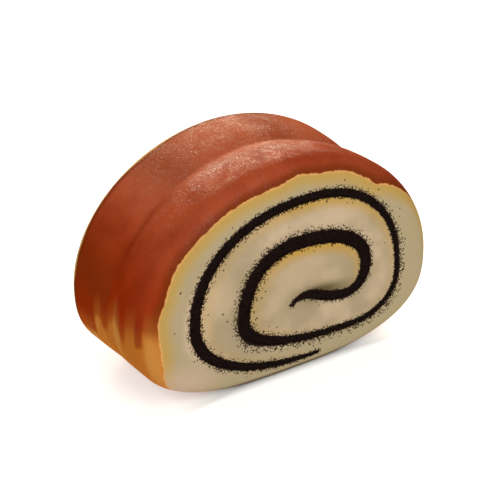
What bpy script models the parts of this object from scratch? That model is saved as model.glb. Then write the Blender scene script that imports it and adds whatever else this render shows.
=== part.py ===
"""Poppy seed bun: a thick slice of a baked roll, whose spiral of poppy seed filling shows at both cuts.

+X runs across the section, +Y from the front cut to the back cut, and +Z up. The origin is the middle of the base.
"""

import math
import random

import bmesh
import bpy
import numpy as np
from mathutils import Matrix, Vector
from mathutils.bvhtree import BVHTree

MM = 0.001

# The slice, from crust to crust, from base to top and from cut to cut
WIDTH = 110 * MM
HEIGHT = 73.6 * MM
LENGTH = 47.6 * MM

# The section: a dome over a squarer belly, whose base the baking tray kept flat
WIDEST_Z = 27.6 * MM
DOME_POWER = 1.95
BELLY_POWER = 2.65
BASE_SINK = 1.3 * MM
LEAN = -0.021

# The slice stands on the flat middle of its base: towards the cuts the base is lifted a little
FOOT_REACH = 17.5 * MM
FOOT_LIFT = 0.1 * MM

# The rounded edges of the two cuts: how far they reach in from the outline, and along the slice
FRONT_ROUND_IN = 7.2 * MM
FRONT_ROUND_ALONG = 6.8 * MM
BACK_ROUND_IN = 8.0 * MM
BACK_ROUND_ALONG = 7.2 * MM

# The waist that parts the crust into two lobes, and fades out towards the base
WAIST_DEPTH = 3.1 * MM
WAIST_Y = 0.3 * MM
WAIST_HALF_WIDTH = 5.1 * MM
WAIST_POWER = 1.2
WAIST_FULL_Z = 58 * MM

# The filling's turns, from the outer tip in: each place where the layer runs level or upright, and its thickness
TURNS = [
    (9.4 * MM, 4.8 * MM, 1.9 * MM),
    (-37.4 * MM, 28.6 * MM, 3.4 * MM),
    (3.8 * MM, 60.7 * MM, 2.7 * MM),
    (40.2 * MM, 25.8 * MM, 1.6 * MM),
    (22.0 * MM, 11.0 * MM, 1.7 * MM),
    (-19.6 * MM, 24.2 * MM, 4.0 * MM),
    (0.4 * MM, 46.3 * MM, 4.3 * MM),
    (27.3 * MM, 31.6 * MM, 3.9 * MM),
    (19.5 * MM, 22.6 * MM, 2.6 * MM),
]
TURN_POWER = 2.2
TURN_STEPS = 7

# The hook at the layer's inner end, which bends down, up and down again
HOOK_DOWN = (9.0 * MM, 22.6 * MM)
HOOK_UP = (5.9 * MM, 30.0 * MM)
HOOK_TIP = (-1.6 * MM, 25.1 * MM)
HOOK_THICKNESS = 2.6 * MM
HOOK_STEPS = 8
TIP_THICKNESS = 0.9 * MM
TIP_TAPER = 22 * MM

# The slot round the filling, and how deep the filling's ends lie in it
SLOT_GAP = 0.3 * MM
END_DEPTH = 0.4 * MM

# The dough swells between the turns of the filling, and is hollowed above the hook
CROWN = 1.0 * MM
CROWN_REACH = 6 * MM
DIP_PLACE = (12 * MM, 26 * MM)
DIP_TURN = math.radians(-8)
DIP_DEPTH = 1.5 * MM
DIP_REACH = (9 * MM, 3 * MM)

# Poppy seeds, and how many are scattered over each cut and set in the filling's ends
SEED_LENGTH = 1.15 * MM
SEED_WIDTH = 0.9 * MM
SEED_CLEARANCE = 0.25 * MM
SEED_SPREAD = 1.5 * MM
SEED_SPACING = 1.7 * MM
LOOSE_SEEDS = 34
SET_SEEDS = 26
SEED_DRAW = 11

# How finely the surfaces are divided
SECTION_STEPS = 60
ROUND_STEPS = 4
WALL_STEPS = 9
FACE_RINGS = 9


def section_point(angle):
    """Gives where the crust lies at an angle round the section, before any rounding."""
    across = math.cos(angle)
    up = math.sin(angle)
    power = 2 / DOME_POWER if up >= 0 else 2 / BELLY_POWER
    reach = HEIGHT - WIDEST_Z if up >= 0 else WIDEST_Z + BASE_SINK
    rise = math.copysign(reach * abs(up) ** power, up)
    return Vector((math.copysign(WIDTH / 2 * abs(across) ** power, across) + LEAN * rise, 0, WIDEST_Z + rise))


def section_normal(angle):
    """Gives the way out of the section at an angle."""
    step = 0.01
    along = section_point(angle + step) - section_point(angle - step)
    return Vector((along.z, 0, -along.x)).normalized()


def smooth(value):
    """Gives a soft step from 0 to 1."""
    held = min(max(value, 0), 1)
    return held * held * (3 - 2 * held)


def crust_ring(y, inset):
    """Gives the points of one ring of the crust, set in from the section and drawn in at the waist."""
    points = []
    lowest = FOOT_LIFT if abs(y) > FOOT_REACH else 0
    for step in range(SECTION_STEPS):
        angle = 2 * math.pi * (step + 0.5) / SECTION_STEPS
        point = section_point(angle)
        waist = WAIST_DEPTH * math.exp(-abs((y - WAIST_Y) / WAIST_HALF_WIDTH) ** WAIST_POWER)
        point -= section_normal(angle) * (inset + waist * smooth(point.z / WAIST_FULL_Z))
        points.append(Vector((point.x, y, max(point.z, lowest))))
    return points


def crust_rings():
    """Gives the rings from the front cut's edge to the back cut's edge."""
    rings = []
    for step in range(ROUND_STEPS + 1):
        turn = math.pi / 2 * step / ROUND_STEPS
        rings.append(crust_ring(-LENGTH / 2 + FRONT_ROUND_ALONG * (1 - math.cos(turn)),
                                FRONT_ROUND_IN * (1 - math.sin(turn))))
    start = -LENGTH / 2 + FRONT_ROUND_ALONG
    end = LENGTH / 2 - BACK_ROUND_ALONG
    for step in range(1, WALL_STEPS):
        rings.append(crust_ring(start + (end - start) * step / WALL_STEPS, 0))
    for step in range(ROUND_STEPS, -1, -1):
        turn = math.pi / 2 * step / ROUND_STEPS
        rings.append(crust_ring(LENGTH / 2 - BACK_ROUND_ALONG * (1 - math.cos(turn)),
                                BACK_ROUND_IN * (1 - math.sin(turn))))
    return rings


def filling_line():
    """Gives the layer's middle line as rows of x, z and half its thickness, from the outer tip to the inner."""
    rows = []
    for number, (start, end) in enumerate(zip(TURNS, TURNS[1:])):
        for step in range(TURN_STEPS):
            turn = math.pi / 2 * step / TURN_STEPS
            away = math.sin(turn) ** (2 / TURN_POWER)
            back = math.cos(turn) ** (2 / TURN_POWER)
            if number % 2 == 0:
                x = start[0] + (end[0] - start[0]) * away
                z = end[1] + (start[1] - end[1]) * back
            else:
                x = end[0] + (start[0] - end[0]) * back
                z = start[1] + (end[1] - start[1]) * away
            thickness = start[2] + (end[2] - start[2]) * smooth(step / TURN_STEPS)
            rows.append((x, z, thickness / 2))
    corners = [np.array(place) for place in (TURNS[-1][:2], HOOK_DOWN, HOOK_UP, HOOK_TIP)]
    for step in range(HOOK_STEPS + 1):
        t = step / HOOK_STEPS
        weights = ((1 - t) ** 3, 3 * t * (1 - t) ** 2, 3 * t * t * (1 - t), t ** 3)
        x, z = sum(weight * corner for weight, corner in zip(weights, corners))
        thickness = TURNS[-1][2] + (HOOK_THICKNESS - TURNS[-1][2]) * t
        rows.append((x, z, thickness / 2))
    line = np.array(rows)
    run = np.concatenate([[0], np.cumsum(np.hypot(*np.diff(line[:, :2], axis=0).T))])
    taper = np.sin(np.pi / 2 * np.clip(np.minimum(run / TIP_TAPER, 2 * (run[-1] - run) / TIP_TAPER), 0, 1))
    line[:, 2] = TIP_THICKNESS / 2 + (line[:, 2] - TIP_THICKNESS / 2) * taper
    return line


LINE = filling_line()
FACE_EDGE = np.array([(point.x, point.z) for point in crust_ring(-LENGTH / 2, FRONT_ROUND_IN)])


def clearance(x, z):
    """Gives how far a place on a cut is from the filling's edge, below 0 in the filling."""
    spans = np.diff(LINE, axis=0)
    rel = np.array((x, z)) - LINE[:-1, :2]
    share = np.clip((rel * spans[:, :2]).sum(1) / (spans[:, :2] ** 2).sum(1), 0, 1)
    away = np.hypot(*(rel - share[:, None] * spans[:, :2]).T)
    return float((away - LINE[:-1, 2] - share * spans[:, 2]).min())


def crown(x, z):
    """Gives how far a cut stands out at a place: the dough swells between the turns and dips above the hook."""
    rim = float(np.hypot(*(FACE_EDGE - (x, z)).T).min())
    from_dip = Matrix.Rotation(-DIP_TURN, 2) @ (Vector((x, z)) - Vector(DIP_PLACE))
    dip = math.exp(-((from_dip.x / DIP_REACH[0]) ** 2) - (from_dip.y / DIP_REACH[1]) ** 2)
    return CROWN * smooth(clearance(x, z) / CROWN_REACH) * smooth(rim / CROWN_REACH) - DIP_DEPTH * dip


def cut_rings(edge, side):
    """Gives the rings that close a cut, from its rounded edge in to its middle; side is -1 at the front."""
    middle = sum(edge, Vector()) / len(edge)
    rings = []
    for number in range(1, FACE_RINGS):
        share = 1 - number / FACE_RINGS
        ring = [middle + (point - middle) * share for point in edge]
        rings.append([Vector((p.x, p.y + side * crown(p.x, p.z), p.z)) for p in ring])
    return rings


def add_ring(bm, points):
    """Adds one closed ring of edges."""
    verts = [bm.verts.new(point) for point in points]
    return [bm.edges.new((verts[i - 1], verts[i])) for i in range(len(verts))]


def make_object(name, bm):
    """Turns a bmesh into a named object with its faces out."""
    bmesh.ops.recalc_face_normals(bm, faces=bm.faces)
    mesh = bpy.data.meshes.new(name)
    bm.to_mesh(mesh)
    bm.free()
    thing = bpy.data.objects.new(name, mesh)
    bpy.context.scene.collection.objects.link(thing)
    return thing


def make_blank():
    """Models the dough before the filling's slot: rings along the crust, closed by rings over the two cuts."""
    crust = crust_rings()
    front = cut_rings(crust[0], -1)
    back = cut_rings(crust[-1], 1)
    bm = bmesh.new()
    loops = [add_ring(bm, points) for points in front[::-1] + crust + back]
    for near, far in zip(loops, loops[1:]):
        bmesh.ops.bridge_loops(bm, edges=near + far)
    for loop in (loops[0], loops[-1]):
        face = bmesh.ops.contextual_create(bm, geom=loop)["faces"]
        bmesh.ops.poke(bm, faces=face)
    return make_object("dough", bm)


def make_layer(name, grow, half_length):
    """Models the filling's layer, or its slot: a strip along the spiral, extruded from the front to the back."""
    middle = LINE[:, :2].copy()
    along = np.gradient(middle, axis=0)
    along /= np.hypot(*along.T)[:, None]
    across = np.stack([along[:, 1], -along[:, 0]], axis=1)
    reach = (LINE[:, 2] + grow)[:, None] * across
    middle[0] -= grow * along[0]
    middle[-1] += grow * along[-1]
    bm = bmesh.new()
    chains = []
    for side in (middle + reach, middle - reach):
        verts = [bm.verts.new((x, -half_length, z)) for x, z in side]
        chains += [bm.edges.new(pair) for pair in zip(verts, verts[1:])]
    strip = bmesh.ops.bridge_loops(bm, edges=chains)["faces"]
    moved = bmesh.ops.extrude_face_region(bm, geom=strip)["geom"]
    new_verts = [part for part in moved if isinstance(part, bmesh.types.BMVert)]
    bmesh.ops.translate(bm, vec=(0, 2 * half_length, 0), verts=new_verts)
    return make_object(name, bm)


def combine(thing, operation, solver, operand):
    """Cuts an object from a thing, or joins a collection to it, and applies the result."""
    modifier = thing.modifiers.new(operation.lower(), "BOOLEAN")
    modifier.operation = operation
    modifier.solver = solver
    if isinstance(operand, bpy.types.Collection):
        modifier.operand_type = "COLLECTION"
        modifier.collection = operand
    else:
        modifier.object = operand
    with bpy.context.temp_override(object=thing, active_object=thing):
        bpy.ops.object.modifier_apply(modifier=modifier.name)


def loose_places(draw):
    """Draws places for seeds on a cut, thickest near the filling's edges and clear of it."""
    places = []
    run = len(LINE) - 1
    while len(places) < LOOSE_SEEDS:
        spot = (len(places) + draw.random()) / LOOSE_SEEDS * run
        number = min(int(spot), run - 1)
        start, end = LINE[number], LINE[number + 1]
        x, z, half = start + (end - start) * (spot - number)
        along = (end - start)[:2] / np.hypot(*(end - start)[:2])
        out = half + SLOT_GAP + SEED_CLEARANCE + SEED_LENGTH / 2 + draw.expovariate(1 / SEED_SPREAD)
        out *= draw.choice((-1, 1))
        x, z = x + out * along[1], z - out * along[0]
        clear = clearance(x, z) > SLOT_GAP + SEED_CLEARANCE + SEED_LENGTH / 2
        inside = np.hypot(*(FACE_EDGE - (x, z)).T).min() > 2 * SEED_LENGTH and z > FACE_EDGE[:, 1].min()
        apart = all(math.hypot(x - a, z - b) > SEED_SPACING for a, b in places)
        if clear and inside and apart:
            places.append((x, z))
    return places


def set_places(draw):
    """Draws places for the seeds that stand in the filling's end, along its whole length."""
    places = []
    run = len(LINE) - 1
    while len(places) < SET_SEEDS:
        spot = (len(places) + 0.2 + 0.6 * draw.random()) / SET_SEEDS * run
        number = min(int(spot), run - 1)
        start, end = LINE[number], LINE[number + 1]
        x, z, half = start + (end - start) * (spot - number)
        along = (end - start)[:2] / np.hypot(*(end - start)[:2])
        out = max(half - SEED_LENGTH / 2 - SEED_CLEARANCE, 0) * draw.uniform(-1, 1)
        places.append((x + out * along[1], z - out * along[0]))
    return places


def scatter_seeds(thing, find_places, draw):
    """Fuses seeds to both cuts of a thing, each half sunk where its middle meets the surface."""
    surface = bmesh.new()
    surface.from_mesh(thing.data)
    tree = BVHTree.FromBMesh(surface)
    surface.free()
    seeds = bpy.data.collections.new("seeds")
    bpy.context.scene.collection.children.link(seeds)
    for side in (-1, 1):
        for x, z in find_places(draw):
            seat = tree.ray_cast(Vector((x, side * LENGTH, z)), Vector((0, -side, 0)))[0]
            bm = bmesh.new()
            bmesh.ops.create_icosphere(bm, subdivisions=1, radius=0.5)
            mesh = bpy.data.meshes.new("seed")
            bm.to_mesh(mesh)
            bm.free()
            seed = bpy.data.objects.new("seed", mesh)
            seed.location = seat
            seed.rotation_euler = (0, draw.uniform(0, math.pi), 0)
            seed.scale = (SEED_LENGTH, SEED_WIDTH, SEED_WIDTH)
            seeds.objects.link(seed)
    bpy.context.view_layer.update()
    combine(thing, "UNION", "EXACT", seeds)
    for seed in list(seeds.objects):
        bpy.data.objects.remove(seed)
    bpy.data.collections.remove(seeds)


def finish(thing, name, colour, roughness):
    """Gives a piece its material and smooth shading with crisp cut edges."""
    material = bpy.data.materials.new(name)
    material.use_nodes = True
    shader = material.node_tree.nodes["Principled BSDF"]
    shader.inputs["Base Color"].default_value = (*colour, 1)
    shader.inputs["Roughness"].default_value = roughness
    thing.data.materials.clear()
    thing.data.materials.append(material)
    thing.data.shade_smooth()
    thing.data.set_sharp_from_angle(angle=math.radians(40))


def make_dough(draw):
    """Makes the baked dough: the blank, less the filling's slot, with loose seeds on its cuts."""
    dough = make_blank()
    slot = make_layer("slot", SLOT_GAP, LENGTH)
    combine(dough, "DIFFERENCE", "EXACT", slot)
    bpy.data.objects.remove(slot)
    scatter_seeds(dough, loose_places, draw)
    finish(dough, "baked dough", (0.64, 0.42, 0.20), 0.5)


def make_filling(draw):
    """Makes the poppy seed filling: one rolled layer from cut to cut, with seeds set in its ends."""
    filling = make_layer("filling", 0, LENGTH / 2 - END_DEPTH)
    scatter_seeds(filling, set_places, draw)
    finish(filling, "poppy seed filling", (0.018, 0.008, 0.007), 0.6)


for old in list(bpy.data.objects):
    bpy.data.objects.remove(old)
seed_draw = random.Random(SEED_DRAW)
make_dough(seed_draw)
make_filling(seed_draw)
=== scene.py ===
"""Poppy seed bun: a thick slice of a baked roll with a spiral of poppy seed filling, as in the photo."""

import math
import random

import bmesh
import bpy
import numpy as np
from mathutils import Matrix, Vector, noise
from mathutils.bvhtree import BVHTree


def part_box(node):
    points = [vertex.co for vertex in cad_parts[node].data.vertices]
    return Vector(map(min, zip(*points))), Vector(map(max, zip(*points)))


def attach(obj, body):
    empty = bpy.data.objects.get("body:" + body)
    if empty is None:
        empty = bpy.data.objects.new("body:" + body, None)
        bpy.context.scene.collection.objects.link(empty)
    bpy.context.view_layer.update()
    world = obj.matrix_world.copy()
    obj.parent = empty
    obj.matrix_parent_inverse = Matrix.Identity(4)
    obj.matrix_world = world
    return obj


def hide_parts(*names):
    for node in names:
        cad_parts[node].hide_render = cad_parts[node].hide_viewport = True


MM = 0.001
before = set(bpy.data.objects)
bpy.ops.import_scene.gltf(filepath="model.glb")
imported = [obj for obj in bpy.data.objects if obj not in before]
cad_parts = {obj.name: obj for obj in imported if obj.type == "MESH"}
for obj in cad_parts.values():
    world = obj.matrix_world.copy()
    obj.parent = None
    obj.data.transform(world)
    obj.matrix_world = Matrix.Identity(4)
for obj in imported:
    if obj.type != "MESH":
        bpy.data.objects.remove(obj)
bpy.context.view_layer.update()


# The dough: a yeast dough spread with filling, rolled up, baked with egg wash on a tray and sliced across.
# Its crust is thin, brown and glossy, its crumb is cream. A drum turned about the roll's axis is pressed to
# the section, drawn in at the waist, swelled at the cuts and slotted for the filling.

dough_low, dough_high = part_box("dough")
width = dough_high.x - dough_low.x
height = dough_high.z
length = 47.6 * MM

widest_z = 27.6 * MM
dome_power = 1.95
belly_power = 2.65
base_sink = 1.3 * MM
lean = -0.021

front_round = (7.2 * MM, 6.8 * MM)
back_round = (8.0 * MM, 7.2 * MM)

waist_depth = 3.1 * MM
waist_y = 0.3 * MM
waist_half_width = 5.1 * MM
waist_power = 1.2
waist_full_z = 58 * MM

crown_height = 1.0 * MM
crown_reach = 6 * MM
dip_place = (12 * MM, 26 * MM)
dip_turn = math.radians(-8)
dip_depth = 1.5 * MM
dip_reach = (9 * MM, 3 * MM)

drum_steps = 384
cut_rings = 52
round_rings = 14
wall_rings = 44
cut_middle_z = 0.42 * height
outline_steps = 240
slope_angle = 0.01
merge_distance = 1e-6

# Where the layer of filling runs level or upright, from the outer tip in, and its thickness there
turns = [
    (9.4 * MM, 4.8 * MM, 1.9 * MM),
    (-37.4 * MM, 28.6 * MM, 3.4 * MM),
    (3.8 * MM, 60.7 * MM, 2.7 * MM),
    (40.2 * MM, 25.8 * MM, 1.6 * MM),
    (22.0 * MM, 11.0 * MM, 1.7 * MM),
    (-19.6 * MM, 24.2 * MM, 4.0 * MM),
    (0.4 * MM, 46.3 * MM, 4.3 * MM),
    (27.3 * MM, 31.6 * MM, 3.9 * MM),
    (19.5 * MM, 22.6 * MM, 2.6 * MM),
]
turn_power = 2.2
turn_steps = 40
hook = [(9.0 * MM, 22.6 * MM), (5.9 * MM, 30.0 * MM), (-1.6 * MM, 25.1 * MM)]
hook_thickness = 2.6 * MM
hook_steps = 40
tip_thickness = 0.9 * MM
tip_taper = 22 * MM


def smooth(value):
    """Gives a soft step from 0 to 1."""
    held = np.clip(value, 0, 1)
    return held * held * (3 - 2 * held)


def section(angle):
    """Gives x and z of the crust at angles round the section, before any rounding."""
    across, up = np.cos(angle), np.sin(angle)
    power = np.where(up >= 0, 2 / dome_power, 2 / belly_power)
    reach = np.where(up >= 0, height - widest_z, widest_z + base_sink)
    rise = np.sign(up) * reach * np.abs(up) ** power
    x = np.sign(across) * width / 2 * np.abs(across) ** power + lean * rise
    return np.stack([x, widest_z + rise], axis=-1)


def pressed(angle, y, inset):
    """Gives the places on the crust at angles, set in by the edge's rounding and the waist."""
    place = section(angle)
    along = section(angle + slope_angle) - section(angle - slope_angle)
    out = np.stack([along[:, 1], -along[:, 0]], axis=1)
    out /= np.linalg.norm(out, axis=1)[:, None]
    waist = waist_depth * np.exp(-np.abs((y - waist_y) / waist_half_width) ** waist_power)
    place = place - out * (inset + waist * smooth(place[:, 1] / waist_full_z))[:, None]
    return np.stack([place[:, 0], y, np.maximum(place[:, 1], 0)], axis=1)


def layer_line():
    """Gives the layer's middle line, rows of x, z and half thickness from the outer tip in, and its run."""
    rows = []
    for number, (start, end) in enumerate(zip(turns, turns[1:])):
        for step in range(turn_steps):
            turn = math.pi / 2 * step / turn_steps
            away = math.sin(turn) ** (2 / turn_power)
            back = math.cos(turn) ** (2 / turn_power)
            if number % 2 == 0:
                x = start[0] + (end[0] - start[0]) * away
                z = end[1] + (start[1] - end[1]) * back
            else:
                x = end[0] + (start[0] - end[0]) * back
                z = start[1] + (end[1] - start[1]) * away
            thickness = start[2] + (end[2] - start[2]) * smooth(step / turn_steps)
            rows.append((x, z, thickness / 2))
    corners = [np.array(place) for place in (turns[-1][:2], *hook)]
    for step in range(hook_steps + 1):
        t = step / hook_steps
        weights = ((1 - t) ** 3, 3 * t * (1 - t) ** 2, 3 * t * t * (1 - t), t ** 3)
        x, z = sum(weight * corner for weight, corner in zip(weights, corners))
        rows.append((x, z, (turns[-1][2] + (hook_thickness - turns[-1][2]) * t) / 2))
    line = np.array(rows)
    run = np.concatenate([[0], np.cumsum(np.hypot(*np.diff(line[:, :2], axis=0).T))])
    from_tips = np.minimum(run, 2 * (run[-1] - run))
    taper = np.sin(np.pi / 2 * np.clip(from_tips / tip_taper, 0, 1))
    line[:, 2] = tip_thickness / 2 + (line[:, 2] - tip_thickness / 2) * taper
    return line, run


line, line_run = layer_line()
line_along = np.gradient(line[:, :2], axis=0)
line_along /= np.hypot(*line_along.T)[:, None]


def from_layer(places):
    """Gives each place's distance to the layer's edge, its side (1 inside the turn) and its run."""
    gap = np.full(len(places), np.inf)
    side = np.zeros(len(places))
    run = np.zeros(len(places))
    for number in range(len(line) - 1):
        start, span = line[number], line[number + 1] - line[number]
        rel = places - start[:2]
        share = np.clip(rel @ span[:2] / (span[:2] @ span[:2]), 0, 1)
        off = rel - share[:, None] * span[:2]
        here = np.hypot(*off.T) - start[2] - share * span[2]
        near = here < gap
        gap[near] = here[near]
        side[near] = np.sign(off[near] @ np.array([span[1], -span[0]]))
        run[near] = line_run[number] + share[near] * (line_run[number + 1] - line_run[number])
    return gap, side, run


def from_outline(places, outline):
    """Gives each place's distance to a closed outline and the angle round it, as a share of the outline."""
    best = np.full(len(places), np.inf)
    share = np.zeros(len(places))
    for number in range(len(outline)):
        start, span = outline[number], outline[(number + 1) % len(outline)] - outline[number]
        rel = places - start
        along = np.clip(rel @ span / (span @ span), 0, 1)
        away = np.hypot(*(rel - along[:, None] * span).T)
        near = away < best
        best[near] = away[near]
        share[near] = (number + along[near]) / len(outline)
    return best, share


outline_angles = np.linspace(0, 2 * np.pi, outline_steps, endpoint=False)
outline = section(outline_angles)
cut_y = np.full(outline_steps, -length / 2)
cut_inset = np.full(outline_steps, front_round[0])
cut_edge = pressed(outline_angles, cut_y, cut_inset)[:, ::2]


def in_dip(places):
    """Gives 1 at the middle of the dip above the hook, and less away from it."""
    along = np.array([math.cos(dip_turn), math.sin(dip_turn)])
    across = np.array([-math.sin(dip_turn), math.cos(dip_turn)])
    away = np.stack([(places - dip_place) @ along, (places - dip_place) @ across], axis=1)
    return np.exp(-((away / dip_reach) ** 2).sum(1))


def swell(places):
    """Gives how far a cut stands out: the dough swells between the turns and dips above the hook."""
    gap = from_layer(places)[0]
    rim = from_outline(places, cut_edge)[0]
    return crown_height * smooth(gap / crown_reach) * smooth(rim / crown_reach) - dip_depth * in_dip(places)


def turn_drum():
    """Turns a drum of unit radius and half length about Y, with rings where the pressed dough needs them."""
    rings = [(number / cut_rings, -1) for number in range(cut_rings + 1)]
    side_rings = 2 * round_rings + wall_rings
    rings += [(1, -1 + 2 * number / side_rings) for number in range(1, side_rings)]
    rings += [(number / cut_rings, 1) for number in range(cut_rings, -1, -1)]
    bm = bmesh.new()
    verts = [bm.verts.new((radius, y, 0)) for radius, y in rings]
    edges = [bm.edges.new(pair) for pair in zip(verts, verts[1:])]
    whole = 2 * math.pi
    bmesh.ops.spin(bm, geom=verts + edges, axis=(0, 1, 0), angle=whole, steps=drum_steps, use_merge=True)
    bmesh.ops.remove_doubles(bm, verts=bm.verts, dist=merge_distance)
    return bm


def side_profile(y):
    """Gives y and the inset along the crust for a drum height from -1 to 1: an edge, the wall, an edge."""
    ring = (y + 1) / 2 * (2 * round_rings + wall_rings)
    front = np.clip(ring / round_rings, 0, 1) * np.pi / 2
    back = np.clip((2 * round_rings + wall_rings - ring) / round_rings, 0, 1) * np.pi / 2
    wall = np.clip((ring - round_rings) / wall_rings, 0, 1)
    place = -length / 2 + front_round[1] + wall * (length - front_round[1] - back_round[1])
    place = place - front_round[1] * np.cos(front) + back_round[1] * np.cos(back)
    inset = front_round[0] * (1 - np.sin(front)) + back_round[0] * (1 - np.sin(back))
    return place, inset


def press_dough(bm):
    """Presses the drum to the loaf's section and swells its cuts."""
    bm.verts.ensure_lookup_table()
    drum = np.array([vert.co for vert in bm.verts])
    radius = np.hypot(drum[:, 0], drum[:, 2])
    angle = np.arctan2(drum[:, 2], drum[:, 0])
    y, inset = side_profile(drum[:, 1])
    place = pressed(angle, y, inset)
    on_cut = np.abs(drum[:, 1]) > 1 - merge_distance
    middle = np.array([0, cut_middle_z])
    place[on_cut, ::2] = middle + (place[on_cut, ::2] - middle) * radius[on_cut, None]
    place[on_cut, 1] += np.sign(drum[on_cut, 1]) * swell(place[on_cut, ::2])
    for vert, co in zip(bm.verts, place):
        vert.co = co
    bmesh.ops.recalc_face_normals(bm, faces=bm.faces)


def finished(name, bm):
    """Turns a bmesh into a named object at the origin."""
    mesh = bpy.data.meshes.new(name)
    bm.to_mesh(mesh)
    bm.free()
    piece = bpy.data.objects.new(name, mesh)
    bpy.context.scene.collection.objects.link(piece)
    return piece


def layer_strip(name, grow, half_length, cells, swells):
    """Models a strip along the layer, from cut to cut; cells divide its thickness."""
    across = np.stack([line_along[:, 1], -line_along[:, 0]], axis=1)
    bm = bmesh.new()
    chains = []
    for number in range(cells + 1):
        share = 2 * number / cells - 1
        places = line[:, :2] + ((line[:, 2] + grow) * share)[:, None] * across
        bulge = swells * (1 - share ** 2)
        verts = [bm.verts.new((x, -half_length - bulge, z)) for x, z in places]
        chains.append([bm.edges.new(pair) for pair in zip(verts, verts[1:])])
    strip = []
    for near, far in zip(chains, chains[1:]):
        strip += bmesh.ops.bridge_loops(bm, edges=near + far)["faces"]
    moved = bmesh.ops.extrude_face_region(bm, geom=strip)["geom"]
    back = [part for part in moved if isinstance(part, bmesh.types.BMVert)]
    for vert in back:
        vert.co.y = -vert.co.y
    bmesh.ops.recalc_face_normals(bm, faces=bm.faces)
    return finished(name, bm)


def cut_slot(piece, slot):
    """Cuts the slot through a piece and applies the cut."""
    cut = piece.modifiers.new("slot", "BOOLEAN")
    cut.operation = "DIFFERENCE"
    cut.solver = "MANIFOLD"
    cut.object = slot
    with bpy.context.temp_override(object=piece, active_object=piece):
        bpy.ops.object.modifier_apply(modifier=cut.name)
    bpy.data.objects.remove(slot)
    piece.data.materials.clear()


drum = turn_drum()
press_dough(drum)
dough = finished("baked_dough", drum)
cut_slot(dough, layer_strip("slot", 0, length, 1, 0))

# The front border of the crust: angles round the section in degrees, and its run in from the cut in
# millimetres. The back border runs in evenly, with waves
front_border = [
    (-150, 5.3), (-135, 9.5), (-60, 10.4), (-10, 9), (25, 7.5), (42, 4), (50, 1.7), (66, 3), (80, 2.3),
    (87, 3), (97, 1.5), (115, 2.6), (148, 3.6), (160, 2.5), (169, 3.1), (185, 1.9), (197, 2.6), (210, 5.3),
]
back_border_run = 9.4
back_border_wave = 1.4
back_border_waves = 3

# Up to what height the ends stayed golden, and over what height they brown, both by y, in millimetres. The
# drips are the left end's; the right end has waves
golden_height = [
    (-24, 30), (-20.3, 31), (-19.9, 25), (-17.3, 25), (-16.9, 31), (-12.5, 29), (-10, 23), (-8, 26),
    (-5, 30), (-2, 27), (0, 25), (1, 22), (3, 22), (4, 25.5), (6.5, 25), (7.5, 18), (10, 17), (24, 17),
]
golden_fade = [
    (-24, 5), (-20.3, 2.5), (-19.9, 0.7), (-17.3, 0.7), (-16.9, 6), (-10, 4), (0, 3), (4, 1.5), (24, 3),
]
right_golden_height = 21
right_golden_fade = 3
golden_wave = 6
golden_wave_size = 6 * MM
golden_warmth = 0.3
golden_reach = 9

# Along the layer, by turns from its outer tip: how far seed is smeared to its two sides, in millimetres, and
# how strongly the filling stained the crumb inside it
outer_smear = [
    (0, 1.2), (1, 1.9), (2, 1.2), (2.5, 2.0), (3, 2.8), (3.5, 3.4), (4, 2.6), (5, 3.2), (5.5, 3.6), (6, 2.4),
    (6.5, 2.4), (7, 1.5), (8, 1.2), (9, 1.0),
]
inner_smear = [
    (0, 0.8), (1, 1.9), (1.5, 2.0), (2, 1.2), (2.5, 0.6), (3, 0.8), (4, 1.1), (4.5, 1.9), (5, 2.3),
    (5.75, 2.4), (6, 1.5), (6.5, 0.7), (7, 0.8), (8, 0.9), (9, 0.9),
]
stain_share = [
    (0, 0), (1, 0.3), (1.6, 0.3), (2, 0.9), (2.5, 0.7), (3, 0.2), (4, 0), (5, 0.35), (5.5, 0.5), (6, 1),
    (6.5, 0.9), (7, 0.5), (8, 0),
]
stain_full = 1.3
stain_reach = 4.6 * MM
stain_left_reach = 2.2 * MM

dough_places = np.array([vert.co for vert in dough.data.vertices])


def store(piece, name, values):
    """Keeps one number for each point of a piece, for its material to read."""
    layer = piece.data.attributes.new(name, "FLOAT", "POINT")
    layer.data.foreach_set("value", np.asarray(values, np.float32))


def past_border(places):
    """Gives how far each point lies past the crust's border, in millimetres, below 0 on the crumb."""
    front = places[:, 1] < 0
    round_in = np.where(front, front_round[0], back_round[0])
    round_along = np.where(front, front_round[1], back_round[1])
    inset, share = from_outline(places[:, ::2], outline)
    rise = 1 - inset / round_in
    lead = 1 - (length / 2 - np.abs(places[:, 1])) / round_along
    turn = np.arctan2(rise, np.maximum(lead, 0))
    on_wall = length / 2 - np.abs(places[:, 1]) > round_along
    run = np.where(on_wall, np.pi / 2, turn) * (round_in + round_along) / 2
    angle = 360 * share
    border = np.interp(np.where(angle > front_border[-1][0], angle - 360, angle), *zip(*front_border))
    waves = [noise.noise((back_border_waves * math.cos(turn), back_border_waves * math.sin(turn), 0.5))
             for turn in 2 * np.pi * share]
    return run / MM - np.where(front, border, back_border_run + back_border_wave * np.array(waves))


def below_golden(places):
    """Gives 1 where the crust stayed golden, low on the ends, and 0 where it browned."""
    left = places[:, 0] < 0
    y, z = places[:, 1] / MM, places[:, 2] / MM
    waves = np.array([noise.noise((place[1] / golden_wave_size, 2.5, 0)) for place in places])
    height = np.where(left, np.interp(y, *zip(*golden_height)), right_golden_height + golden_wave * waves)
    fade = np.where(left, np.interp(y, *zip(*golden_fade)), right_golden_fade)
    warm = golden_warmth * smooth(1 + (height - z) / golden_reach)
    return np.maximum(warm, smooth(0.5 + (height - z) / (2 * fade)))


def turn_at(run):
    """Gives how many turns a run along the layer is from its outer tip."""
    stops = [line_run[number * turn_steps] for number in range(len(turns))] + [line_run[-1]]
    return np.interp(run, stops, range(len(stops)))


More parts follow.
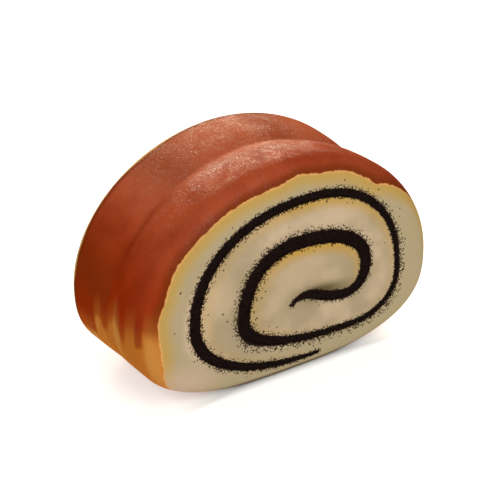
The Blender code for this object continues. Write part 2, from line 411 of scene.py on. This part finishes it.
def smear(side, run):
    """Gives how far the seed is smeared beside the layer, in millimetres, on a side and at a run."""
    turn = turn_at(run)
    return np.where(side > 0, np.interp(turn, *zip(*inner_smear)), np.interp(turn, *zip(*outer_smear)))


def stain(gap, side, run):
    """Gives how strongly the filling has stained the crumb inside its turns."""
    up = np.interp(run, line_run, line_along[:, 1])
    reach = stain_reach + stain_left_reach * np.maximum(up, 0)
    inside = np.where(side > 0, smooth(stain_full - stain_full * gap / reach), 0)
    return inside * np.interp(turn_at(run), *zip(*stain_share))


layer_gap, layer_side, layer_run = from_layer(dough_places[:, ::2])
store(dough, "past_border", past_border(dough_places))
store(dough, "smeared", layer_gap / MM / smear(layer_side, layer_run))
store(dough, "golden", below_golden(dough_places))
store(dough, "stain", stain(layer_gap, layer_side, layer_run))
store(dough, "inset", from_outline(dough_places[:, ::2], outline)[0] / MM)
store(dough, "dip", in_dip(dough_places[:, ::2]))


def linear(colour):
    """Turns an sRGB hex colour to linear light."""
    parts = [int(colour[at:at + 2], 16) / 255 for at in (1, 3, 5)]
    return (*(part / 12.92 if part <= 0.04045 else ((part + 0.055) / 1.055) ** 2.4 for part in parts), 1)


def add(tree, kind, settings, inputs):
    """Adds a node with its settings; an input is a value, a hex colour, or another node's output to link."""
    made = tree.nodes.new(kind)
    for name, value in settings.items():
        setattr(made, name, value)
    for name, value in inputs.items():
        if isinstance(value, bpy.types.NodeSocket):
            tree.links.new(value, made.inputs[name])
        else:
            made.inputs[name].default_value = linear(value) if isinstance(value, str) else value
    return made


def start_material(name):
    """Starts a material and gives it with its node tree and its Principled shader."""
    material = bpy.data.materials.new(name)
    material.use_nodes = True
    return material, material.node_tree, material.node_tree.nodes["Principled BSDF"]


def dough_material():
    """Egg-washed crust over close cream crumb: satin red-brown skin, golden at the tray, matt cut faces.

    The wash dries to a skin with fine grain and hair wrinkles, which break the shine into specks."""
    material, tree, shader = start_material("egg_washed_crust_and_crumb")
    places = add(tree, "ShaderNodeTexCoord", {}, {}).outputs["Object"]
    upright = add(tree, "ShaderNodeMapping", {}, {"Vector": places, "Scale": (0.1, 1, 0.12)}).outputs[0]
    known = dict(zip(("x", "y", "z"), add(tree, "ShaderNodeSeparateXYZ", {}, {0: places}).outputs))
    for name in ("past_border", "golden", "smeared", "stain", "inset", "dip"):
        known[name] = add(tree, "ShaderNodeAttribute", {"attribute_name": name}, {}).outputs["Fac"]

    # Each noise's size in millimetres and its detail, then grains with a share drawn for each one
    noises = (
        ("fray", places, 2.2, 3), ("crumb_cloud", places, 14, 3), ("ragged", places, 0.7, 2),
        ("crust_cloud", places, 11, 5), ("streak", upright, 4, 1), ("pores", places, 0.9, 3),
        ("grain", places, 0.5, 1), ("swirl", places, 5, 3),
    )
    for name, vector, size, detail in noises:
        inputs = {"Vector": vector, "Scale": 1 / (size * MM), "Detail": detail}
        known[name] = add(tree, "ShaderNodeTexNoise", {}, inputs).outputs[0]
    grains = add(tree, "ShaderNodeTexVoronoi", {}, {"Vector": places, "Scale": 1 / (0.5 * MM)})
    known["from_grain"] = grains.outputs["Distance"]
    known["drawn"] = add(tree, "ShaderNodeSeparateColor", {}, {0: grains.outputs["Color"]}).outputs[0]

    # Shares worked out in turn. A ramp reads a value between two limits and gives its last two numbers there
    ramp, plain, soft = "ShaderNodeMapRange", {}, {"interpolation_type": "SMOOTHSTEP"}
    sums, times, weigh = "ShaderNodeMath", {"operation": "MULTIPLY"}, {"operation": "MULTIPLY_ADD"}
    steps = (
        # Where the crust begins, frayed
        ("frayed", sums, weigh, "fray", 1.4, "past_border"),
        ("crusted", ramp, soft, "frayed", 0.5, 0.85, 0, 1),
        # The crumb: soft patches, a greyer outer ring and core, a buttery ring by the crust, a fairer low
        # left end, painted shade in the dip above the hook, a darker base edge that is partly seared crust
        # and partly painted contact shade, and the gilded rim
        ("crumb_patch", ramp, soft, "crumb_cloud", 0.35, 0.65, 0, 1),
        ("outer", ramp, soft, "inset", 15, 11, 0, 0.9),
        ("core", ramp, soft, "inset", 21, 26, 0, 0.3),
        ("buttery", ramp, soft, "past_border", -6, -1.2, 0, 0.85),
        ("foot", ramp, soft, "z", 22 * MM, 8 * MM, 0, 0.8),
        ("left_end", ramp, soft, "x", -24 * MM, -42 * MM, 0, 1),
        ("fair", sums, times, "foot", "left_end"),
        # Painted shade in the dip above the hook
        ("shade", sums, times, "dip", 0.85),
        # Darker at the foot of the cuts: partly the seared edge of the base, partly painted contact shade
        ("seared", ramp, soft, "z", 3.2 * MM, 1.2 * MM, 0, 0.85),
        ("gilded", ramp, soft, "past_border", -0.9, -0.2, 0, 0.8),
        # Ground seed smeared past the layer's edge: a ragged fringe, then specks that thin out
        ("clean", sums, weigh, "smeared", -1.2, "ragged"),
        ("fringe", ramp, soft, "clean", 0.28, 0.34, 0, 0.95),
        ("density", ramp, plain, "smeared", 0, 1.1, 0.95, 0),
        ("kept", sums, {"operation": "LESS_THAN"}, "drawn", "density"),
        ("dot", ramp, soft, "from_grain", 0.65, 0.5, 0, 0.9),
        ("specks", sums, times, "kept", "dot"),
        # The crust: redder low down and oranger on top, partly painted light and sheen from above; darker
        # patches;
        # a darker right shoulder, which is painted shade; darker towards the front cut; a darker border; and
        # a paler rear crest, which is painted light
        # Lighter and oranger towards the top: partly the wash, partly painted light and sheen from above
        ("brushed", ramp, soft, "z", 33 * MM, 66 * MM, 0, 1),
        ("crust_patch", ramp, soft, "crust_cloud", 0.35, 0.7, 0, 0.7),
        # Painted shade on the crust's right shoulder
        ("shoulder", ramp, soft, "x", 14 * MM, 32 * MM, 0, 0.4),
        # A paler, pinker top of the rear lobe: painted light and sheen
        ("rear", ramp, soft, "y", -7 * MM, 1 * MM, 0, 0.8),
        ("high", ramp, soft, "z", 54 * MM, 68 * MM, 0, 1),
        ("crest", sums, times, "rear", "high"),
        ("front", ramp, soft, "y", -10 * MM, -19 * MM, 0, 0.3),
        ("edge", ramp, soft, "past_border", 3.6, 0.6, 0, 0.9),
        ("pale", ramp, soft, "streak", 0.45, 0.65, 0, 1),
        # The wash's film: fine grain and hair wrinkles, brushed on the top alone, thin towards both cuts
        ("off_middle", sums, {"operation": "SUBTRACT"}, "swirl", 0.5),
        ("from_wrinkle", sums, {"operation": "ABSOLUTE"}, "off_middle"),
        ("wrinkle", ramp, soft, "from_wrinkle", 0, 0.02, -0.5, 0),
        ("skin", sums, {"operation": "ADD"}, "grain", "wrinkle"),
        ("bright", ramp, plain, "drawn", 0.7, 0.9, 0.4, 1),
        ("glazed", ramp, plain, "brushed", 0.3, 1, 0.03, 1),
        ("worn", ramp, soft, "swirl", 0.36, 0.56, 0.45, 1),
        ("thick", ramp, soft, "y", -17 * MM, -7 * MM, 0.5, 1),
        ("thin", ramp, soft, "y", 5 * MM, 11 * MM, 1, 0.6),
        ("film", sums, times, "crusted", "bright"),
        ("film", sums, times, "film", "glazed"),
        ("film", sums, times, "film", "worn"),
        ("film", sums, times, "film", "thick"),
        ("film", sums, times, "film", "thin"),
    )
    for name, kind, settings, *values in steps:
        inputs = {number: known.get(value, value) for number, value in enumerate(values)}
        known[name] = add(tree, kind, settings, inputs).outputs[0]

    # Colours laid one over another by those shares, the crust over the crumb last
    colours = {"data_type": "RGBA"}
    crumb = "#b9a488"
    for share, tint in (
        ("crumb_patch", "#a09074"), ("outer", "#a39474"), ("core", "#988966"), ("buttery", "#b08e46"),
        ("fair", "#bea48e"), ("stain", "#b08d44"), ("shade", "#54461e"), ("seared", "#5e4c38"),
        ("gilded", "#d0985a"), ("specks", "#22110a"), ("fringe", "#190a06"),
    ):
        crumb = add(tree, "ShaderNodeMix", colours, {0: known[share], 6: crumb, 7: tint}).outputs[2]
    crust = "#932a05"
    for share, tint in (
        ("brushed", "#a24726"), ("crust_patch", "#842808"), ("shoulder", "#7c3016"), ("crest", "#b65e3e"),
        ("front", "#823620"), ("edge", "#702c0c"),
    ):
        crust = add(tree, "ShaderNodeMix", colours, {0: known[share], 6: crust, 7: tint}).outputs[2]
    gold = add(tree, "ShaderNodeMix", colours, {0: known["pale"], 6: "#b26a26", 7: "#ba7d3a"}).outputs[2]
    crust = add(tree, "ShaderNodeMix", colours, {0: known["golden"], 6: crust, 7: gold}).outputs[2]
    colour = add(tree, "ShaderNodeMix", colours, {0: known["crusted"], 6: crumb, 7: crust}).outputs[2]
    tree.links.new(colour, shader.inputs["Base Color"])

    # The relief: the crumb's and crust's pores below, and the wash's own film above
    pores = {"Height": known["pores"], "Strength": 0.5, "Distance": 0.15 * MM}
    tree.links.new(add(tree, "ShaderNodeBump", {}, pores).outputs[0], shader.inputs["Normal"])
    skin = {"Height": known["skin"], "Strength": 1, "Distance": 0.2 * MM}
    tree.links.new(add(tree, "ShaderNodeBump", {}, skin).outputs[0], shader.inputs["Coat Normal"])
    tree.links.new(known["film"], shader.inputs["Coat Weight"])
    shader.inputs["Coat Roughness"].default_value = 0.4
    shader.inputs["Coat IOR"].default_value = 1.5
    shader.inputs["Roughness"].default_value = 0.7
    shader.inputs["Specular IOR Level"].default_value = 0
    return material


dough.data.materials.append(dough_material())
dough.data.shade_smooth()
dough.data.set_sharp_from_angle(angle=math.radians(50))
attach(dough, "root")
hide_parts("dough")


# The filling: ground poppy seed cooked with sugar to a moist near-black paste, spread on the dough before it
# is rolled. One layer runs from cut to cut and fills its slot.

filling_end = 0.35 * MM
filling_bulge = 0.3 * MM
filling_grow = 0.15 * MM
filling_cells = 6

filling_half = length / 2 - filling_end
filling = layer_strip("poppy_filling", filling_grow, filling_half, filling_cells, filling_bulge)


def paste_material():
    """Moist ground poppy seed: near-black brown, dull, with a faint wet shine."""
    material, tree, shader = start_material("ground_poppy_seed_paste")
    places = add(tree, "ShaderNodeTexCoord", {}, {}).outputs["Object"]
    grains = add(tree, "ShaderNodeTexNoise", {},
                 {"Vector": places, "Scale": 1 / (0.9 * MM), "Detail": 3}).outputs[0]
    share = add(tree, "ShaderNodeMapRange", {}, {0: grains, 1: 0.35, 2: 0.65, 3: 0, 4: 1}).outputs[0]
    colour = add(tree, "ShaderNodeMix", {"data_type": "RGBA"},
                 {0: share, 6: "#0e0201", 7: "#1a0904"}).outputs[2]
    tree.links.new(colour, shader.inputs["Base Color"])
    shader.inputs["Roughness"].default_value = 0.8
    shader.inputs["Specular IOR Level"].default_value = 0.15
    bump = add(tree, "ShaderNodeBump", {}, {"Height": grains, "Strength": 0.8, "Distance": 0.3 * MM})
    tree.links.new(bump.outputs[0], shader.inputs["Normal"])
    return material


filling.data.materials.append(paste_material())
filling.data.shade_smooth()
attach(filling, "root")
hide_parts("filling")


# The poppy seeds: whole blue-black seeds somewhat under a millimetre long. Those of the filling's cut ends
# lie packed in the paste, and loose ones were dragged over the crumb beside it by the knife.

seed_length = 0.75 * MM
seed_width = 0.6 * MM
seed_thickness = 0.9
seed_sizes = (0.75, 1.2)
seed_tilt = 0.6
seed_sunk = 0.1 * MM
seed_batch = 250
seed_draw = random.Random(5)

# Steps along the layer, and how the loose seeds lie off its edge, as shares of the smear
packed_rows = 4
packed_step = 0.8 * MM
near_step = 0.5 * MM
near_middle = 0.1
near_spread = 0.25
far_step = 1.6 * MM
far_thinning = 1.8
step_play = (0.6, 1.4)

dough_bm = bmesh.new()
dough_bm.from_mesh(dough.data)
dough_tree = BVHTree.FromBMesh(dough_bm)
dough_bm.free()
filling_bm = bmesh.new()
filling_bm.from_mesh(filling.data)
filling_tree = BVHTree.FromBMesh(filling_bm)
filling_bm.free()


def seed_places(run_step, offset):
    """Draws places along the layer, one a step, each set off across it by a drawn offset."""
    places = []
    run = 0
    while run < line_run[-1]:
        here = [np.interp(run, line_run, column) for column in line.T]
        along = [np.interp(run, line_run, column) for column in line_along.T]
        off = offset(here[2], run)
        places.append((here[0] + off * along[1], here[1] - off * along[0]))
        run += run_step * seed_draw.uniform(*step_play)
    return places


def beside(half, run, share):
    """Gives an offset past one of the layer's edges, as a share of how far the seed is smeared there."""
    side = seed_draw.choice((-1, 1))
    return side * (half + share * float(smear(side, run)) * MM)


def seeds_piece(name, places, tree):
    """Models seeds at places on both cuts as one joined mesh, each turned at random and part sunk."""
    whole = bmesh.new()
    for first in range(0, len(places), seed_batch):
        batch = bmesh.new()
        for x, z, side in places[first:first + seed_batch]:
            seat = tree.ray_cast(Vector((x, side * length, z)), Vector((0, -side, 0)))[0]
            if seat is None:
                continue
            size = seed_draw.uniform(*seed_sizes)
            turn = Matrix.Rotation(seed_draw.uniform(0, math.pi), 4, "Y")
            tilt = Matrix.Rotation(seed_draw.uniform(-seed_tilt, seed_tilt), 4, "Z")
            across = seed_width * size
            shape = Matrix.Diagonal((seed_length * size, across, across * seed_thickness, 1))
            place = Matrix.Translation(seat + Vector((0, -side * seed_sunk * size, 0)))
            put = place @ turn @ tilt @ shape
            bmesh.ops.create_icosphere(batch, subdivisions=1, radius=0.5, matrix=put)
        mesh = bpy.data.meshes.new("batch")
        batch.to_mesh(mesh)
        batch.free()
        whole.from_mesh(mesh)
        bpy.data.meshes.remove(mesh)
    return finished(name, whole)


def seed_material():
    """Poppy seed hull: blue-black, finely netted, with a soft sheen."""
    material, tree, shader = start_material("poppy_seed_hull")
    places = add(tree, "ShaderNodeTexCoord", {}, {}).outputs["Object"]
    tint = add(tree, "ShaderNodeTexNoise", {}, {"Vector": places, "Scale": 1 / (1.2 * MM)}).outputs[0]
    colour = add(tree, "ShaderNodeMix", {"data_type": "RGBA"},
                 {0: tint, 6: "#080302", 7: "#1a0e08"}).outputs[2]
    tree.links.new(colour, shader.inputs["Base Color"])
    shader.inputs["Roughness"].default_value = 0.6
    shader.inputs["Specular IOR Level"].default_value = 0.2
    return material


def packed_offset(half, run):
    """Gives an offset within the layer."""
    return half * seed_draw.uniform(-1, 1)


def near_offset(half, run):
    """Gives an offset close to the layer's edge."""
    return beside(half, run, seed_draw.gauss(near_middle, near_spread))


def far_offset(half, run):
    """Gives an offset that thins out away from the layer's edge."""
    return beside(half, run, seed_draw.expovariate(far_thinning))


hull = seed_material()
packed = []
loose = []
for side in (-1, 1):
    for _ in range(packed_rows):
        packed += [(x, z, side) for x, z in seed_places(packed_step, packed_offset)]
    loose += [(x, z, side) for x, z in seed_places(near_step, near_offset)]
    loose += [(x, z, side) for x, z in seed_places(far_step, far_offset)]

packed_seeds = seeds_piece("packed_poppy_seeds", packed, filling_tree)
loose_seeds = seeds_piece("loose_poppy_seeds", loose, dough_tree)
for piece in (packed_seeds, loose_seeds):
    piece.data.materials.append(hull)
    piece.data.shade_smooth()
    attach(piece, "root")


# The studio: a matt white table top and an even white surround, a soft key light at the front left, a wide
# one above and a warmer one behind that draws the shine along the two lobes. The table glows, but its glow
# is cut out under the bun, a painted shadow, so it shows white with a soft painted shadow. The camera looks
# down from the front left.

table_size = 3
table_glow = 0.64
painted_shadow_x = (15 * MM, 42 * MM)
painted_shadow_y = (20 * MM, 24.5 * MM)

floor_bm = bmesh.new()
bmesh.ops.create_grid(floor_bm, x_segments=1, y_segments=1, size=table_size)
floor = finished("table_top", floor_bm)
floor_material, floor_tree, floor_shader = start_material("matt_white_laminate")
floor_shader.inputs["Base Color"].default_value = linear("#c0c0c0")
floor_shader.inputs["Roughness"].default_value = 0.9
floor_shader.inputs["Emission Color"].default_value = linear("#ffffff")
floor_places = add(floor_tree, "ShaderNodeTexCoord", {}, {}).outputs["Object"]
floor_parts = add(floor_tree, "ShaderNodeSeparateXYZ", {}, {0: floor_places}).outputs
# The glow fades out over the bun's footprint: a painted shadow on the table
past = []
for part, (start, end) in ((floor_parts[0], painted_shadow_x), (floor_parts[1], painted_shadow_y)):
    away = add(floor_tree, "ShaderNodeMath", {"operation": "ABSOLUTE"}, {0: part}).outputs[0]
    limits = {0: away, 1: start, 2: end, 3: 0, 4: 1}
    past.append(add(floor_tree, "ShaderNodeMapRange", {}, limits).outputs[0])
clear = add(floor_tree, "ShaderNodeMath", {"operation": "MAXIMUM"}, {0: past[0], 1: past[1]}).outputs[0]
glow = add(floor_tree, "ShaderNodeMath", {"operation": "MULTIPLY"}, {0: clear, 1: table_glow}).outputs[0]
floor_tree.links.new(glow, floor_shader.inputs["Emission Strength"])
floor.visible_glossy = False
floor.data.materials.append(floor_material)

world = bpy.data.worlds.new("surround")
bpy.context.scene.world = world
world.use_nodes = True
world.node_tree.nodes["Background"].inputs["Color"].default_value = linear("#ffffff")
world.node_tree.nodes["Background"].inputs["Strength"].default_value = 0.3
world.cycles_visibility.glossy = False


def soft_box(name, place, aim, size, power, colour):
    """Hangs a square or oblong soft light at a place, turned to an aim."""
    light = bpy.data.lights.new(name, "AREA")
    light.shape = "RECTANGLE"
    light.size, light.size_y = size
    light.energy = power
    light.color = linear(colour)[:3]
    lamp = bpy.data.objects.new(name, light)
    lamp.location = place
    lamp.rotation_euler = (Vector(aim) - Vector(place)).to_track_quat("-Z", "Y").to_euler()
    bpy.context.scene.collection.objects.link(lamp)


bun_middle = (0, 0, 0.45 * height)
soft_box("key", (-0.10, -0.50, 0.50), bun_middle, (0.45, 0.45), 3.3, "#fffaf2")
soft_box("top", (-0.20, 0.25, 1.0), bun_middle, (0.8, 0.6), 3.0, "#fff0dc")
soft_box("back", (0.38, 0.72, 0.38), bun_middle, (0.5, 0.32), 7.9, "#fff0d0")

camera_turn = math.radians(34.92)
camera_rise = math.radians(27.82)
camera_distance = 618 * MM
camera_back = Vector((-math.sin(camera_turn) * math.cos(camera_rise),
                      -math.cos(camera_turn) * math.cos(camera_rise), math.sin(camera_rise)))
camera_right = Vector((math.cos(camera_turn), -math.sin(camera_turn), 0))
camera_up = camera_back.cross(camera_right)
camera_shift = (-0.59 * MM, 0.62 * MM)
camera_level = 33.12 * MM
camera_centre = Vector((0, 0, camera_level))
camera_aim = camera_centre + camera_shift[0] * camera_right + camera_shift[1] * camera_up
camera_data = bpy.data.cameras.new("camera")
camera_data.sensor_width = 36
camera_data.lens = 139.7
camera = bpy.data.objects.new("camera", camera_data)
camera.location = camera_centre + camera_distance * camera_back
camera.rotation_euler = (camera_aim - camera.location).to_track_quat("-Z", "Y").to_euler()
bpy.context.scene.collection.objects.link(camera)
bpy.context.scene.camera = camera
bpy.context.scene.view_settings.view_transform = "Standard"
